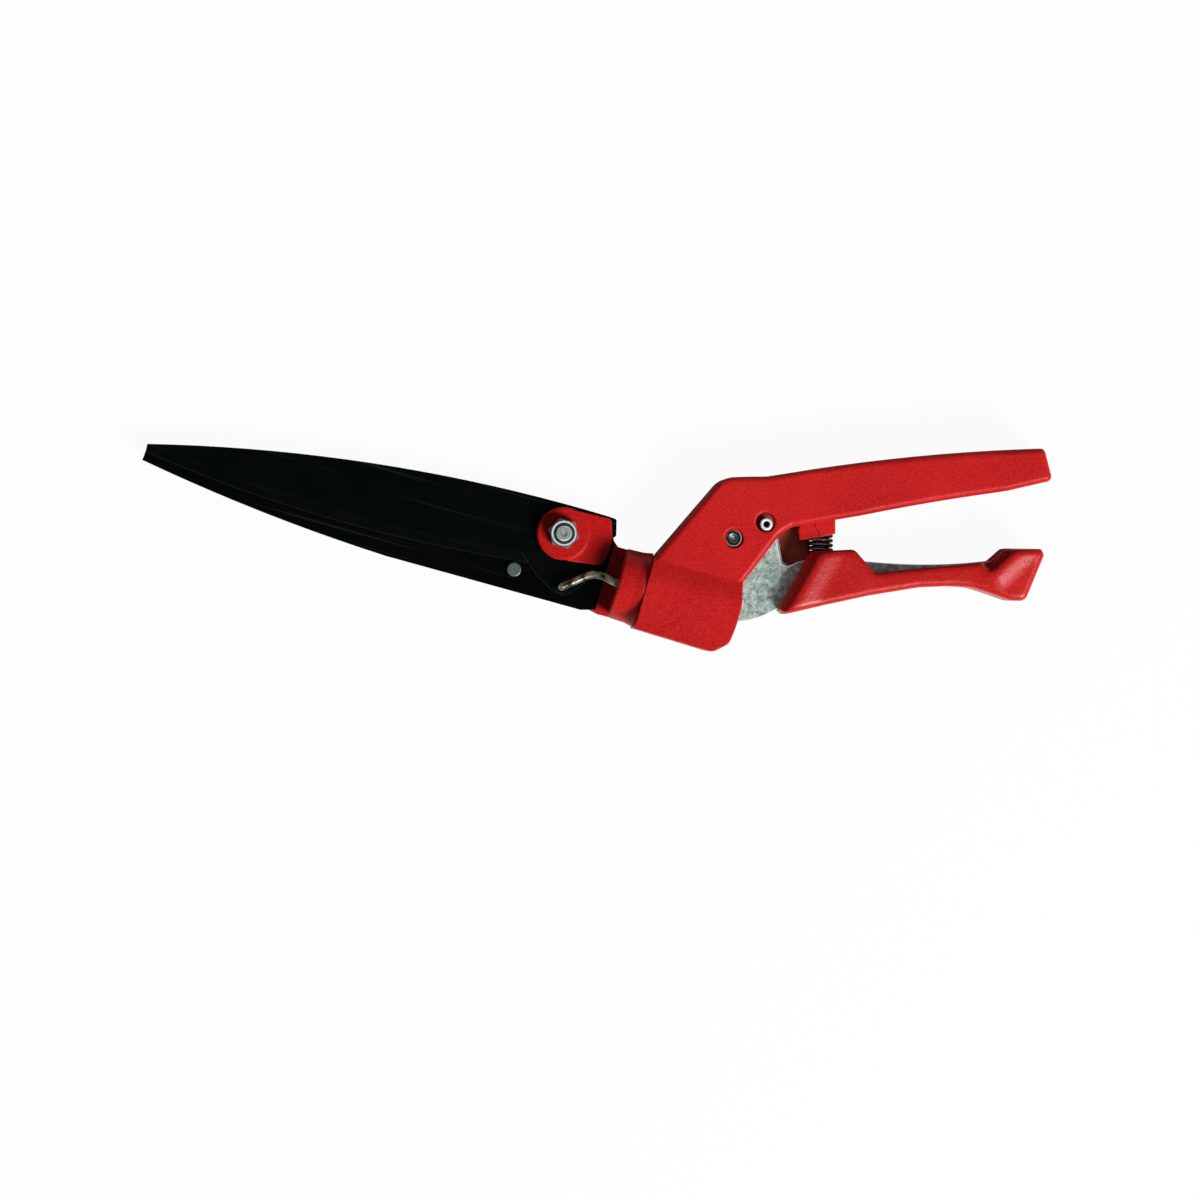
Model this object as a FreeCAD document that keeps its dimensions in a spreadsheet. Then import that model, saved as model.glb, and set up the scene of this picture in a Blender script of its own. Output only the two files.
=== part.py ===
import FreeCAD, Part
import math
import os
import Sketcher

# Grass shears with a turning head, lying on the flat side of the swivel housing.
# Model axes: X runs back along the swivel axis from the neck seam, Y across the tool,
# Z up from the swivel axis. Every body carries the same placement to the row origin.

doc = FreeCAD.newDocument("GrassShears")
sheet = doc.addObject("Spreadsheet::Sheet", "Sizes")

SIZES = {
    # row origin, seen from the model's own zero
    "origin_back": 17.0,
    "housing_half": 14.5,
    # pivot, lever swing and pull rod
    "pivot_x": 26.2,
    "pivot_y": 27.5,
    "pivot_radius": 3.0,
    "running_gap": 0.06,
    "half_swing": 10.6,
    "knuckle_arm": 27.75,
    "knuckle_x": "=pivot_x + knuckle_arm * sin(half_swing)",
    "knuckle_y": "=pivot_y - knuckle_arm * cos(half_swing)",
    "knuckle_radius": 2.0,
    "collar_gap": 0.15,
    "collar_thick": 1.5,
    "collar_radius": 3.2,
    "rod_radius": 1.6,
    "rod_bore": "=rod_radius + running_gap",
    "rod_end": 35.2,
    "rod_rise_x": -11.0,
    "rod_bend_x": -15.0,
    "rod_bend_y": 0.8,
    "rod_slope_x": -22.4,
    "rod_slope_y": -1.3,
    "hook_x": -29.3,
    "hook_y": -6.95,
    "hook_clear": 0.3,
    "hook_depth": "=-moving_low - hook_clear",
    "hook_slot_radius": 2.3,
    # cutting head, heights from the swivel axis
    "bolt_x": -34.2,
    "bolt_y": 12.05,
    "bolt_radius": 3.0,
    "bolt_head_radius": 6.6,
    "bolt_head_thick": 2.1,
    "bolt_proud": 0.9,
    "bolt_end": "=nut_low + nut_thick + nut_collar_thick + bolt_proud",
    "blade_thick": 2.0,
    "blade_gap": 0.2,
    "tongue_low": "=-housing_half + bolt_head_thick",
    "tongue_thick": 4.5,
    "fixed_low": "=tongue_low + tongue_thick",
    "moving_low": "=fixed_low + blade_thick + blade_gap",
    "plate_low": "=moving_low + blade_thick",
    "plate_thick": 1.8,
    "boss_radius": 9.8,
    "boss_height": 4.3,
    "nut_low": "=plate_low + boss_height",
    "nut_flats": 10.0,
    "nut_thick": 4.4,
    "nut_collar_radius": 4.9,
    "nut_collar_thick": 1.6,
    "insert_outer": 4.0,
    "insert_sunk": 0.3,
    "rivet_x": -47.9,
    "rivet_y": -5.7,
    "rivet_head_radius": 2.7,
    "rivet_shank_radius": 1.6,
    "rivet_head_thick": 1.8,
    # neck and swivel journal
    "neck_front": -10.0,
    "neck_small": 13.2,
    "neck_large": 14.2,
    "seam_gap": 0.2,
    "journal_radius": 9.4,
    "journal_bore": "=journal_radius + running_gap",
    "journal_end": 15.7,
    "chamber_start": 12.4,
    "chamber_end": "=journal_end + ring_gap",
    "chamber_radius": 11.6,
    "ring_radius": 11.0,
    "ring_thick": 1.2,
    "ring_gap": 0.2,
    "ring_start": "=chamber_start + ring_gap",
    "ring_back": "=ring_start + ring_thick",
    "ring_groove": 8.2,
    "detent_x": 6.0,
    "ball_radius": 2.0,
    "groove_radius": 2.1,
    "detent_bore": 2.15,
    "ball_gap": 0.1,
    "detent_depth": 8.0,
    "rod_room_radius": 4.3,
    "rod_room_length": 18.3,
    "detent_wire": 0.35,
    # handle castings
    "handle_half": 12.0,
    "handle_hollow": 9.2,
    "lever_half": 4.0,
    "lever_gap": 0.3,
    "catch_clear": 0.5,
    "catch_room": "=catch_clear - catch_low",
    "boss_half": 6.2,
    "rib_low": 4.2,
    "rib_high": 5.7,
    "slope_inner": 5.4,
    "slope_outer": 12.3,
    "slope_reach": "=housing_half + 1.5",
    "pin_sunk": 0.4,
    "hub_radius": 8.5,
    "pin_recess": 3.7,
    "recess_deep": 1.2,
    "window_radius": 5.0,
    "finger_inner": 2.0,
    "grip_half": 13.0,
    "edge_round": 2.2,
    "grip_round": 2.2,
    "grip_bevel_tilt": 52.0,
    "grip_bevel_drop": 4.2,
    "back_slant": 13.5,
    "back_x": 48.0,
    "back_y": 1.2,
    "back_run": 36.0,
    "tail_slant": 31.0,
    "tail_x": 118.6,
    "tail_y": 43.0,
    "tail_run": 12.0,
    # catch, its rivet and stud
    "catch_x": 36.5,
    "catch_y": 35.8,
    "catch_hole": 3.55,
    "catch_hole_x": 35.9,
    "catch_hole_y": 36.4,
    "catch_rivet_radius": 2.3,
    "catch_rivet_hole": 1.05,
    "catch_rivet_sunk": 4.0,
    "catch_rivet_top": "=handle_half - catch_rivet_sunk",
    "catch_bore_deep": 5.0,
    "catch_gap": 0.6,
    "catch_thick": 2.3,
    "catch_low": "=-lever_half - catch_gap - catch_thick",
    "catch_release": 10.0,
    "stud_x": 41.0,
    "stud_y": 21.5,
    "stud_radius": 1.8,
    "stud_low": "=catch_low + 0.1",
    # return spring
    "coil_radius": 4.2,
    "coil_wire": 0.65,
    "coil_length": 14.0,
    "coil_turns": 8.0,
    "coil_foot_x": 60.6,
    "coil_foot_y": 27.4,
    "coil_lean": 16.5,
    "seat_radius": 5.1,
}


def put(name, value):
    row = len(SHEET_ROWS) + 1
    SHEET_ROWS.append(name)
    sheet.set(f"A{row}", name)
    sheet.set(f"B{row}", value if isinstance(value, str) else repr(value))
    sheet.setAlias(f"B{row}", name)


SHEET_ROWS = []
for size_name, size_value in SIZES.items():
    put(size_name, size_value)
doc.recompute()


def number(item):
    if isinstance(item, str):
        sign = -1 if item.startswith("-") else 1
        return sign * sheet.get(item.lstrip("-"))
    return item


def link(item):
    if isinstance(item, str):
        return item.replace("-", "-Sizes.") if item.startswith("-") else "Sizes." + item
    return repr(item)


ORIGIN = {"x": "-Sizes.origin_back", "y": "0", "z": "Sizes.housing_half"}


def place_at_row(item):
    for letter, rule in ORIGIN.items():
        item.setExpression(f"Placement.Base.{letter}", rule)


def new_body(node):
    body = doc.addObject("PartDesign::Body", node)
    body.Label = node
    place_at_row(body)
    return body


def plane_of(body, role):
    return [item for item in body.Origin.OriginFeatures if item.Role == role][0]


def new_sketch(body, name, level="0", plane="XY_Plane"):
    sketch = body.newObject("Sketcher::SketchObject", f"{body.Name}_{name}")
    sketch.AttachmentSupport = [(plane_of(body, plane), "")]
    sketch.MapMode = "FlatFace"
    sketch.setExpression("AttachmentOffset.Base.z", level)
    return sketch


def bind_point(sketch, curve, end, x, y):
    for kind, item in (("DistanceX", x), ("DistanceY", y)):
        index = sketch.addConstraint(Sketcher.Constraint(kind, -1, 1, curve, end, number(item)))
        sketch.setExpression(f"Constraints[{index}]", link(item))


def stretch(start, finish, radius):
    """A line, or an arc of the given radius that bulges left (+) or right (-)."""
    first = FreeCAD.Vector(number(start[0]), number(start[1]), 0)
    last = FreeCAD.Vector(number(finish[0]), number(finish[1]), 0)
    if not radius:
        return Part.LineSegment(first, last)
    size = number(radius)
    half = (last - first).Length / 2
    rise = abs(size) - math.sqrt(size * size - half * half)
    left = FreeCAD.Vector(first.y - last.y, last.x - first.x, 0).normalize()
    middle = (first + last) * 0.5 + left * math.copysign(rise, size)
    if size > 0:
        first, last = last, first
    return Part.Arc(first, middle, last)


def draw(sketch, name, corners, closed=True):
    """Corners are (x, y) or (x, y, radius of the arc that leaves this corner)."""
    first = sketch.GeometryCount
    count = len(corners) if closed else len(corners) - 1
    for step in range(count):
        here = corners[step]
        there = corners[(step + 1) % len(corners)]
        radius = here[2] if len(here) > 2 else None
        sketch.addGeometry(stretch(here, there, radius), False)
    starts = []
    for step in range(count):
        curve = sketch.Geometry[first + step]
        here = FreeCAD.Vector(number(corners[step][0]), number(corners[step][1]), 0)
        starts.append(1 if (curve.StartPoint - here).Length < 1e-4 else 2)
    for step in range(count):
        if closed or step + 1 < count:
            after = (step + 1) % count
            sketch.addConstraint(Sketcher.Constraint(
                "Coincident", first + step, 3 - starts[step], first + after, starts[after]))
    for step, corner in enumerate(corners):
        at_end = step == count
        curve = first + (count - 1 if at_end else step)
        end = 3 - starts[count - 1] if at_end else starts[step]
        pair = []
        for letter, item in zip("xy", corner[:2]):
            if not isinstance(item, str):
                alias = f"{name}_{step + 1}_{letter}"
                put(alias, item)
                item = alias
            pair.append(item)
        sheet.recompute()
        bind_point(sketch, curve, end, *pair)
        if len(corner) > 2 and not at_end:
            alias = f"{name}_{step + 1}_bend"
            put(alias, abs(corner[2]))
            index = sketch.addConstraint(
                Sketcher.Constraint("Radius", first + step, abs(corner[2])))
            sketch.setExpression(f"Constraints[{index}]", f"Sizes.{alias}")
    return sketch


def ring(sketch, x, y, radius):
    centre = FreeCAD.Vector(number(x), number(y), 0)
    curve = sketch.addGeometry(Part.Circle(centre, FreeCAD.Vector(0, 0, 1), number(radius)), False)
    bind_point(sketch, curve, 3, x, y)
    index = sketch.addConstraint(Sketcher.Constraint("Radius", curve, number(radius)))
    sketch.setExpression(f"Constraints[{index}]", link(radius))
    return sketch


def pad(body, name, sketch, length):
    item = body.newObject("PartDesign::Pad", f"{body.Name}_{name}")
    item.Profile = sketch
    item.setExpression("Length", length)
    body.Tip = item
    return item


def pocket(body, name, sketch, length):
    item = body.newObject("PartDesign::Pocket", f"{body.Name}_{name}")
    item.Profile = sketch
    item.Reversed = True
    item.setExpression("Length", length)
    body.Tip = item
    return item


def turned(body, name, sketch, kind="Revolution"):
    item = body.newObject("PartDesign::" + kind, f"{body.Name}_{name}")
    item.Profile = sketch
    item.ReferenceAxis = (sketch, ["H_Axis"])
    item.Angle = 360
    body.Tip = item
    return item


TURN = {
    "z": FreeCAD.Rotation(),
    "x": FreeCAD.Rotation(FreeCAD.Vector(0, 1, 0), 90),
    "y": FreeCAD.Rotation(FreeCAD.Vector(1, 0, 0), -90),
}


def solid(body, kind, name, at, axis="z", **sizes):
    item = body.newObject("PartDesign::" + kind, f"{body.Name}_{name}")
    item.Placement = FreeCAD.Placement(FreeCAD.Vector(), TURN[axis])
    for letter, rule in zip("xyz", at):
        item.setExpression(f"Placement.Base.{letter}", rule)
    for key, rule in sizes.items():
        item.setExpression(key, rule)
    body.Tip = item
    return item


def soften(body, name, size, wanted, kind="Fillet", second=None):
    doc.recompute()
    base = body.Tip
    edges = [f"Edge{i + 1}" for i, edge in enumerate(base.Shape.Edges) if wanted(edge)]
    item = body.newObject("PartDesign::" + kind, f"{body.Name}_{name}")
    item.Base = (base, edges)
    if kind == "Fillet":
        item.setExpression("Radius", size)
    else:
        item.setExpression("Size", size)
    if second:
        item.ChamferType = "Two distances"
        item.setExpression("Size2", second)
    body.Tip = item
    return item


def at_height(edge, height):
    return all(abs(vertex.Z - height) < 1e-4 for vertex in edge.Vertexes)


def upright(edge, x, y, reach=0.6):
    ends = edge.Vertexes
    if len(ends) < 2 or abs(ends[0].Z - ends[1].Z) < 1:
        return False
    return all(math.hypot(vertex.X - x, vertex.Y - y) < reach for vertex in ends)


S = "Sizes."
LEAN = "create(<<rotation>>; create(<<vector>>; 0; 0; 1); Sizes.coil_lean)"
LAY_BACK = " * create(<<rotation>>; create(<<vector>>; 1; 0; 0); -90)"


def seat_for_spring(body):
    seat = solid(body, "SubtractiveCylinder", "spring_seat",
                 (S + "coil_foot_x", S + "coil_foot_y", "0"),
                 Radius=S + "seat_radius", Height=S + "coil_length")
    seat.setExpression("Placement.Rotation", LEAN + LAY_BACK)


# --------------------------------------------------------------- upper handle
handle = new_body("upper_handle")
outline = new_sketch(handle, "outline", "-Sizes.handle_half")
draw(outline, "handle", [
    (0.0, 12.3), (16.4, 48.0), (24.7, 50.7), (32.0, 52.9), (39.7, 56.5, 700.0),
    (127.9, 91.3), (134.1, 80.7), (119.2, 72.5, -900.0), (68.7, 48.3),
    (46.2, 37.5), (42.4, 33.6), (34.1, 12.3), (34.1, -1.0), (0.0, -1.0)])
pad(handle, "plate", outline, "2 * Sizes.handle_half")
housing = new_sketch(handle, "housing", "-Sizes.housing_half")
draw(housing, "housing", [
    (0.0, -14.6), (30.0, -15.1), (35.0, -10.6, -60.0), (35.7, 5.2), (34.1, 12.3), (0.0, 12.3)])
pad(handle, "housing_block", housing, "2 * Sizes.housing_half")
doc.recompute()
soften(handle, "corner", "4", lambda edge: upright(edge, 30.0, -15.1) or upright(edge, 35.0, -10.6))
for side, sign in (("top", ""), ("low", "-")):
    slope = new_sketch(handle, f"slope_{side}", "-1", "YZ_Plane")
    draw(slope, f"slope_{side}", [
        ("slope_inner", sign + "housing_half"), ("slope_outer", sign + "handle_half"),
        ("slope_reach", sign + "handle_half"), ("slope_reach", sign + "slope_reach"),
        ("slope_inner", sign + "slope_reach")])
    pocket(handle, f"slope_cut_{side}", slope, "40")


def on_crest(edge):
    return (at_height(edge, number("housing_half")) and edge.BoundBox.YLength < 1
            and abs(edge.Vertexes[0].Y - number("slope_inner")) < 0.01)


soften(handle, "crest", "14", on_crest)
soften(handle, "knee", "9", lambda edge: upright(edge, 16.4, 48.0)
       or upright(edge, 42.4, 33.6) or upright(edge, 39.7, 56.5) or upright(edge, 32.0, 52.9))
soften(handle, "nose", "2", lambda edge: upright(edge, 127.9, 91.3) or upright(edge, 134.1, 80.7))


def on_rim(edge):
    if not (at_height(edge, number("handle_half")) or at_height(edge, -number("handle_half"))):
        return False
    return edge.BoundBox.YMin > number("slope_outer") - 0.1 and edge.BoundBox.YLength > 0.5


soften(handle, "rim", "Sizes.edge_round", on_rim)
slot = new_sketch(handle, "slot", "-Sizes.catch_room")
draw(slot, "slot", [
    (15.9, -5.0), (42.0, -5.0), (54.0, 20.0), (54.0, 44.0), (44.0, 50.5), (30.0, 47.2),
    (22.0, 44.6), (12.6, 26.0), (15.9, 14.0)])
pocket(handle, "slot_cut", slot, "Sizes.catch_room + Sizes.lever_half + Sizes.lever_gap")
hollow = new_sketch(handle, "hollow", "-Sizes.handle_hollow")
draw(hollow, "hollow", [
    (47.0, 30.0), (47.0, 54.0), (60.0, 61.0), (88.0, 73.0), (125.0, 86.6), (129.6, 79.0),
    (130.0, 70.0), (90.0, 50.0)])
pocket(handle, "hollow_cut", hollow, "2 * Sizes.handle_hollow")
boss = new_sketch(handle, "boss", "-Sizes.boss_half")
draw(boss, "boss", [(53.2, 42.0), (57.4, 36.9), (62.4, 39.6), (61.0, 44.4), (64.6, 64.4), (50.0, 58.2)])
pad(handle, "boss_block", boss, "2 * Sizes.boss_half")
rib = new_sketch(handle, "rib", "-Sizes.rib_low")
draw(rib, "rib", [(49.0, 37.0), (50.4, 33.8), (57.4, 36.9), (57.0, 62.0), (48.4, 57.0)])
pad(handle, "rib_web", rib, "Sizes.rib_low + Sizes.rib_high")
seat_for_spring(handle)
solid(handle, "SubtractiveCylinder", "journal_cut", ("-1", "0", "0"), "x",
      Radius=S + "journal_bore", Height="Sizes.chamber_start + 1.5")
solid(handle, "SubtractiveCylinder", "chamber", (S + "chamber_start", "0", "0"), "x",
      Radius=S + "chamber_radius", Height="Sizes.chamber_end - Sizes.chamber_start")
solid(handle, "SubtractiveCylinder", "rod_room", ("Sizes.chamber_end - 0.5", "0", "0"), "x",
      Radius=S + "rod_room_radius", Height=S + "rod_room_length")
solid(handle, "SubtractiveCylinder", "detent_well", (S + "detent_x", "Sizes.journal_radius - 1", "0"),
      "y", Radius=S + "detent_bore", Height=S + "detent_depth")
solid(handle, "SubtractiveCylinder", "pivot_hole", (S + "pivot_x", S + "pivot_y", "-20"),
      Radius=S + "pivot_radius", Height="40")
for side, low in (("top", "Sizes.handle_half - Sizes.recess_deep"), ("low", "-Sizes.handle_half - 1")):
    solid(handle, "SubtractiveCylinder", f"pin_recess_{side}", (S + "pivot_x", S + "pivot_y", low),
          Radius=S + "pin_recess", Height="Sizes.recess_deep + 1")
solid(handle, "SubtractiveCylinder", "catch_window", (S + "catch_hole_x", S + "catch_hole_y", "0"),
      Radius=S + "catch_hole", Height="20")
solid(handle, "SubtractiveCone", "catch_window_lip",
      (S + "catch_hole_x", S + "catch_hole_y", "Sizes.handle_half - 0.5"),
      Radius1=S + "catch_hole", Radius2="Sizes.catch_hole + 0.5", Height="0.5")
solid(handle, "SubtractiveCylinder", "catch_hole", (S + "catch_x", S + "catch_y", "-20"),
      Radius=S + "catch_rivet_radius", Height="20")

# ------------------------------------------------------ pins held by the handle
pin = new_body("pivot_pin")
solid(pin, "AdditiveCylinder", "shaft",
      (S + "pivot_x", S + "pivot_y", "-Sizes.handle_half + Sizes.pin_sunk"),
      Radius=S + "pivot_radius", Height="2 * Sizes.handle_half - 2 * Sizes.pin_sunk")
soften(pin, "ends", "0.4", lambda edge: edge.BoundBox.ZLength < 0.01, "Chamfer")
solid(pin, "SubtractiveCone", "dish",
      (S + "pivot_x", S + "pivot_y", "Sizes.handle_half - Sizes.pin_sunk - 0.5"),
      Radius1="0.5", Radius2="0.7 * Sizes.pivot_radius", Height="0.5")

catch_rivet = new_body("catch_rivet")
solid(catch_rivet, "AdditiveCylinder", "tube", (S + "catch_x", S + "catch_y", "-Sizes.handle_half + 0.3"),
      Radius=S + "catch_rivet_radius", Height="Sizes.handle_half - 0.3 + Sizes.catch_rivet_top")
solid(catch_rivet, "SubtractiveCylinder", "bore",
      (S + "catch_x", S + "catch_y", "Sizes.catch_rivet_top - Sizes.catch_bore_deep"),
      Radius=S + "catch_rivet_hole", Height=S + "catch_bore_deep")

ball = new_body("detent_ball")
solid(ball, "AdditiveSphere", "sphere", (S + "detent_x", "Sizes.journal_radius + Sizes.ball_gap", "0"),
      Radius=S + "ball_radius")


# ------------------------------------------------------------------ springs
def coil(node, base, rotation, radius, wire, turns, length):
    body = new_body(node)
    for letter, rule in zip("xyz", base):
        body.setExpression(f"Placement.Base.{letter}", rule)
    body.setExpression("Placement.Rotation", rotation)
    profile = new_sketch(body, "wire")
    corners = []
    for side in range(6):
        pair = (f"{node}_{side}_out", f"{node}_{side}_up")
        put(pair[0], f"={radius} + {wire} * cos({60 * side})")
        put(pair[1], f"={wire} + {wire} * sin({60 * side})")
        corners.append(pair)
    sheet.recompute()
    draw(profile, node, corners)
    item = body.newObject("PartDesign::AdditiveHelix", f"{node}_winding")
    item.Profile = profile
    item.ReferenceAxis = (profile, ["V_Axis"])
    item.Mode = "height-turns-angle"
    item.setExpression("Height", f"{length} - 2 * Sizes.{wire}")
    item.setExpression("Turns", turns)
    body.Tip = item
    return body


coil("return_spring",
     ("-Sizes.origin_back + Sizes.coil_foot_x", "Sizes.coil_foot_y", "Sizes.housing_half"),
     LEAN, "coil_radius", "coil_wire", "Sizes.coil_turns", "Sizes.coil_length")
put("detent_coil", 1.6)
sheet.recompute()
coil("detent_spring",
     ("-Sizes.origin_back + Sizes.detent_x",
      "Sizes.journal_radius + Sizes.ball_gap + Sizes.ball_radius",
      "Sizes.housing_half"),
     "create(<<rotation>>; create(<<vector>>; 0; 0; 1); 0)",
     "detent_coil", "detent_wire", "4",
     "(Sizes.detent_depth - 1.1 - Sizes.ball_radius)")

# ------------------------------------------------------------------ cast lever
lever = new_body("cast_lever")
web = new_sketch(lever, "web", "-Sizes.lever_half")
draw(web, "lever", [
    (18.4, 24.5), (26.6, 6.4), (36.4, 6.4), (36.4, -1.77, -31.0), (48.8, 6.4),
    (53.5, 9.3), (65.0, 15.8), (80.5, 23.6), (97.5, 31.8), (109.0, 35.5), (122.0, 37.2),
    (134.0, 37.5), (135.0, 51.0), (121.4, 46.4, 200.0), (75.3, 32.9), (70.0, 32.8), (57.0, 28.6),
    (51.7, 25.7), (49.5, 23.7), (46.6, 24.2), (42.7, 32.0), (31.0, 34.2)])
pad(lever, "web_pad", web, "2 * Sizes.lever_half")
soften(lever, "notch", "0.8", lambda edge: at_height(edge, number("lever_half"))
       and edge.BoundBox.XMin > 42 and edge.BoundBox.XMax < 49.6 and edge.BoundBox.YMax < 33, "Chamfer")
solid(lever, "AdditiveCylinder", "hub", (S + "pivot_x", S + "pivot_y", "-Sizes.lever_half"),
      Radius=S + "hub_radius", Height="2 * Sizes.lever_half")
solid(lever, "SubtractiveCylinder", "window", (S + "knuckle_x", S + "knuckle_y", "-5"),
      Radius=S + "window_radius", Height="10")
fork = new_sketch(lever, "fork", "-Sizes.lever_half")
draw(fork, "fork", [
    (30.1, -0.1), (32.5, 0.3), (32.2, 3.9), (33.2, 8.0), (26.8, 8.0), (29.3, 3.6)])
pad(lever, "fork_pad", fork, "2 * Sizes.lever_half")
solid(lever, "AdditiveCylinder", "knuckle", (S + "knuckle_x", S + "knuckle_y", "-Sizes.lever_half"),
      Radius=S + "knuckle_radius", Height="2 * Sizes.lever_half")
solid(lever, "SubtractiveBox", "fork_gap", ("20", "-8", "-Sizes.finger_inner"),
      Length="16.3", Width="13.2", Height="2 * Sizes.finger_inner")
solid(lever, "SubtractiveCylinder", "bore", (S + "pivot_x", S + "pivot_y", "-5"),
      Radius="Sizes.pivot_radius + Sizes.running_gap", Height="10")
seat_for_spring(lever)
solid(lever, "SubtractiveCylinder", "stud_hole", (S + "stud_x", S + "stud_y", "-5"),
      Radius=S + "stud_radius", Height="4")

stud = new_body("catch_stud")
solid(stud, "AdditiveCylinder", "post", (S + "stud_x", S + "stud_y", S + "stud_low"),
      Radius=S + "stud_radius", Height="-Sizes.stud_low - 1")


def slope_off(body, end):
    """Bevels the upper and the lower edge of a face that stands across the grip."""
    for side, flip, reach in (("top", 0, 0), ("low", 180, 1)):
        rule = f"create(<<rotation>>; create(<<vector>>; 0; 0; 1); -Sizes.{end}_slant)"
        rule += f" * create(<<rotation>>; create(<<vector>>; 1; 0; 0); {flip})"
        rule += " * create(<<rotation>>; create(<<vector>>; 0; 1; 0); -Sizes.grip_bevel_tilt)"
        height = "(Sizes.grip_half - Sizes.grip_bevel_drop)"
        wedge = solid(body, "SubtractiveBox", f"{end}_bevel_{side}", (
            f"Sizes.{end}_x + {reach} * Sizes.{end}_run * sin(Sizes.{end}_slant)",
            f"Sizes.{end}_y + {reach} * Sizes.{end}_run * cos(Sizes.{end}_slant)",
            f"{1 - 2 * reach} * {height}"), Length="9", Width=f"Sizes.{end}_run", Height="9")
        wedge.setExpression("Placement.Rotation", rule)


grip = new_body("grip_cover")
shell = new_sketch(grip, "shell", "-Sizes.grip_half")
draw(shell, "grip", [
    (49.4, 7.0), (52.1, 5.6), (64.7, 12.7), (80.1, 20.9), (97.2, 29.0), (108.5, 32.7),
    (116.0, 34.4), (124.0, 34.1), (131.2, 33.7), (136.5, 35.0), (138.6, 53.3), (136.9, 55.2),
    (124.2, 51.8), (121.2, 47.0), (119.9, 45.3), (110.3, 41.6), (98.4, 37.1), (79.9, 29.6),
    (70.4, 35.9), (55.1, 30.7)])
pad(grip, "shell_pad", shell, "2 * Sizes.grip_half")
soften(grip, "corner", "3", lambda edge: upright(edge, 136.5, 35.0) or upright(edge, 70.4, 35.9)
       or upright(edge, 55.1, 30.7))
soften(grip, "waist", "14", lambda edge: upright(edge, 116.0, 34.4) or upright(edge, 97.2, 29.0))
soften(grip, "throat", "2.5", lambda edge: upright(edge, 79.9, 29.6))


soften(grip, "rim", "Sizes.grip_round",
       lambda edge: at_height(edge, number("grip_half")) or at_height(edge, -number("grip_half")))
for end in ("back", "tail"):
    slope_off(grip, end)
channel = new_sketch(grip, "channel", "-Sizes.lever_half")
draw(channel, "channel", [
    (48.8, 6.4), (53.5, 9.3), (65.0, 15.8), (80.5, 23.6), (97.5, 31.8), (109.0, 35.5),
    (122.0, 37.2), (134.0, 37.5), (135.0, 51.0), (121.4, 46.4), (121.0, 60.0), (50.0, 60.0),
    (40.0, 20.0)])
pocket(grip, "channel_cut", channel, "2 * Sizes.lever_half")
seat_for_spring(grip)

# ------------------------------------------------------------------ lock catch
catch = new_body("lock_catch")
blank = new_sketch(catch, "blank", S + "catch_low")
blank.setExpression("AttachmentOffset.Base.x", S + "catch_x")
blank.setExpression("AttachmentOffset.Base.y", S + "catch_y")
blank.setExpression(
    "AttachmentOffset.Rotation", "create(<<rotation>>; create(<<vector>>; 0; 0; 1); Sizes.catch_release)")
draw(blank, "catch", [
    (3.8, 2.0), (17.0, -0.8), (17.4, -5.7), (16.2, -8.2), (14.2, -13.5), (9.6, -14.5),
    (9.0, -17.0), (7.6, -18.4),
    (3.5, -18.4), (3.5, -16.5), (6.7, -16.5), (6.7, -12.0), (3.5, -7.0), (-3.2, -2.8)])
pad(catch, "blank_pad", blank, S + "catch_thick")
solid(catch, "AdditiveCylinder", "eye", (S + "catch_x", S + "catch_y", S + "catch_low"),
      Radius="4.4", Height=S + "catch_thick")
solid(catch, "SubtractiveCylinder", "bore", (S + "catch_x", S + "catch_y", "-20"),
      Radius="Sizes.catch_rivet_radius + Sizes.running_gap", Height="20")

# ------------------------------------------------------------------ swivel neck
neck = new_body("swivel_neck")
half = new_sketch(neck, "half", "0", "XZ_Plane")
draw(half, "neck", [
    ("neck_front", 0.0), ("neck_front", "neck_small"), (-3.6, 13.5), ("-seam_gap", "neck_large"),
    ("-seam_gap", "journal_radius"), ("ring_start", "journal_radius"), ("ring_start", "ring_groove"),
    ("ring_back", "ring_groove"), ("ring_back", "journal_radius"), ("journal_end", "journal_radius"),
    ("journal_end", 0.0)])
turned(neck, "body", half)
soften(neck, "lip", "0.8", lambda edge: edge.BoundBox.XMax < number("neck_front") + 0.1
       and edge.BoundBox.ZLength > 20)
shelf = new_sketch(neck, "shelf", S + "tongue_low")
draw(shelf, "shelf", [
    (-8.0, -13.0), (-13.3, -13.1), (-21.0, -11.6), (-40.0, -7.0), (-45.6, 2.0), (-45.0, 15.0),
    (-38.0, 20.0), (-19.0, 19.6), (-15.8, 15.4), (-13.0, 13.1), (-8.0, 13.0)])
pad(neck, "shelf_pad", shelf, S + "tongue_thick")
solid(neck, "SubtractiveCylinder", "rod_hole", ("-20", "0", "0"), "x", Radius=S + "rod_bore", Height="40")
solid(neck, "SubtractiveCylinder", "bolt_hole", (S + "bolt_x", S + "bolt_y", "-20"),
      Radius=S + "bolt_radius", Height="20")
solid(neck, "SubtractiveTorus", "detent_groove", (S + "detent_x", "0", "0"), "x",
      Radius1="Sizes.journal_radius + Sizes.ball_gap", Radius2=S + "groove_radius")

clip = new_body("retaining_ring")
solid(clip, "AdditiveCylinder", "disc", (S + "ring_start", "0", "0"), "x",
      Radius=S + "ring_radius", Height=S + "ring_thick")
solid(clip, "SubtractiveCylinder", "eye", ("10", "0", "0"), "x", Radius=S + "ring_groove", Height="10")
solid(clip, "SubtractiveBox", "gap", ("10", "-15", "-3"), Length="10", Width="15", Height="6")

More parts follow.
